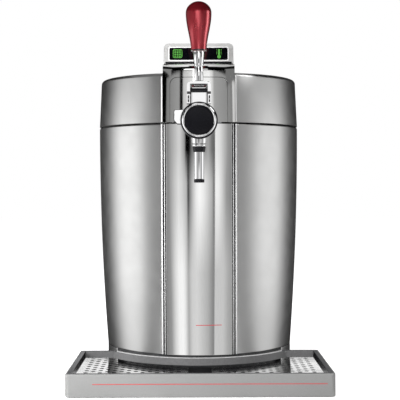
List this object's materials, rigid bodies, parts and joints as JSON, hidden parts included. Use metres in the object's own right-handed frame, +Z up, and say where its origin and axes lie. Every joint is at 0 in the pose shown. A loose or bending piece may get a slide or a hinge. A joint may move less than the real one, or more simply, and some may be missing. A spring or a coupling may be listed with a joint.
{
  "type": "mini keg beer dispenser",
  "caption": "Countertop cooler for a small beer keg, with a hinged lid, a tap with a lever handle and cap, a display housing, and a slide-off drip tray with a perforated grid.",
  "frame": {"origin": "middle of the footprint on the surface that the feet stand on", "axes": "+Z up, -Y towards the tap and the drip tray, +X to the right as seen by someone behind the tap's front looking along +Y"},
  "size_m": [0.328, 0.456, 0.4924],
  "materials": {
    "satin_silver": "satin metallic silver over moulded plastic",
    "polished_steel": "polished steel",
    "grid_steel": "mirror polished perforated steel",
    "silver_paint": "silver painted plastic",
    "polished_silver": "mirror silver over moulded plastic",
    "chrome_trim": "bright chrome",
    "plain_steel": "plain steel",
    "red_handle": "metallic red lacquer",
    "black_plastic": "matte black",
    "gloss_black": "gloss black",
    "smoked_window": "smoked clear plastic with two lit icons",
    "grey_plastic": "dark grey satin plastic",
    "white_plastic": "white plastic",
    "rubber": "black rubber",
    "foam": "expanded foam",
    "aluminium": "bare aluminium",
    "board": "green circuit board",
    "ceramic": "white ceramic faces"
  },
  "bodies": {
    "cooler_body": {"base_pan": "black_plastic", "foot_front_left": "rubber", "foot_rear_left": "rubber", "foot_front_right": "rubber", "foot_rear_right": "rubber", "side_shell_left": "satin_silver", "side_shell_right": "satin_silver", "column_trim_left": "silver_paint", "column_trim_right": "silver_paint", "front_column": "polished_steel", "rear_cover": "black_plastic", "vent_grille": "black_plastic", "foam_cup": "foam", "chamber_liner": "aluminium", "top_deck": "black_plastic", "lid_seal": "rubber", "cold_block": "aluminium", "cooler_module": "ceramic", "heat_sink": "aluminium", "fan_frame": "black_plastic", "power_supply": "aluminium", "control_board": "board", "power_inlet": "black_plastic", "switch_bezel": "black_plastic", "strike_plate": "plain_steel", "hinge_base_left": "plain_steel", "hinge_base_right": "plain_steel", "tap_bracket": "plain_steel", "tap_plate": "polished_silver", "tap_body": "chrome_trim", "neck_cap": "gloss_black", "nozzle_socket": "chrome_trim", "spout_collar": "black_plastic", "spout_tube": "chrome_trim", "spout_tip": "black_plastic"},
    "lid": {"lid_shell": "satin_silver", "lid_front_panel": "polished_silver", "lid_liner": "white_plastic", "lid_foam": "foam", "lid_magnet": "plain_steel", "spine_cover": "satin_silver", "display_housing": "silver_paint", "display_window": "smoked_window", "display_board": "board", "hinge_leaf_left": "plain_steel", "hinge_leaf_right": "plain_steel"},
    "lever": {"lever_yoke": "chrome_trim", "lever_shaft": "plain_steel", "lever_rod": "chrome_trim", "lever_handle": "red_handle"},
    "slider": {"pinch_slider": "white_plastic"},
    "tap_cap": {"cap_collar": "chrome_trim", "cap_ring": "chrome_trim", "cap_badge": "gloss_black"},
    "drip_tray": {"tray_tub": "grey_plastic", "tray_fascia": "silver_paint"},
    "grid": {"drip_grid": "grid_steel"},
    "fan": {"fan_rotor": "black_plastic"},
    "rocker": {"switch_rocker": "gloss_black"}
  },
  "joints": [
    {"name": "lid_hinge", "type": "hinge", "parent": "cooler_body", "child": "lid", "pos_m": [0, 0.2237, 0.3391], "axis": [-1, 0, 0], "range_deg": [0, 95]},
    {"name": "tap_lever", "type": "hinge", "parent": "cooler_body", "child": "lever", "pos_m": [0, -0.152, 0.3715], "axis": [1, 0, 0], "range_deg": [0, 50]},
    {"name": "pinch_slide", "type": "slide", "parent": "cooler_body", "child": "slider", "axis": [0, 0, 1], "range_m": [0, 0.0049]},
    {"name": "cap_turn", "type": "hinge", "parent": "cooler_body", "child": "tap_cap", "pos_m": [0, -0.173, 0.3385], "axis": [0, 1, 0], "range_deg": [0, 45]},
    {"name": "tray_slide", "type": "slide", "parent": "cooler_body", "child": "drip_tray", "axis": [0, -1, 0], "range_m": [0, 0.12]},
    {"name": "grid_lift", "type": "slide", "parent": "drip_tray", "child": "grid", "axis": [0, 0, 1], "range_m": [0, 0.04]},
    {"name": "fan_spin", "type": "hinge", "parent": "cooler_body", "child": "fan", "pos_m": [0, 0.19, 0.18], "axis": [0, 1, 0], "continuous": true},
    {"name": "switch_rock", "type": "hinge", "parent": "cooler_body", "child": "rocker", "pos_m": [0.06, 0.214, 0.066], "axis": [1, 0, 0], "range_deg": [0, 16]}
  ],
  "couplings": [
    {"joint": "pinch_slide", "follows": "tap_lever", "m_per_rad": 0.0055}
  ]
}
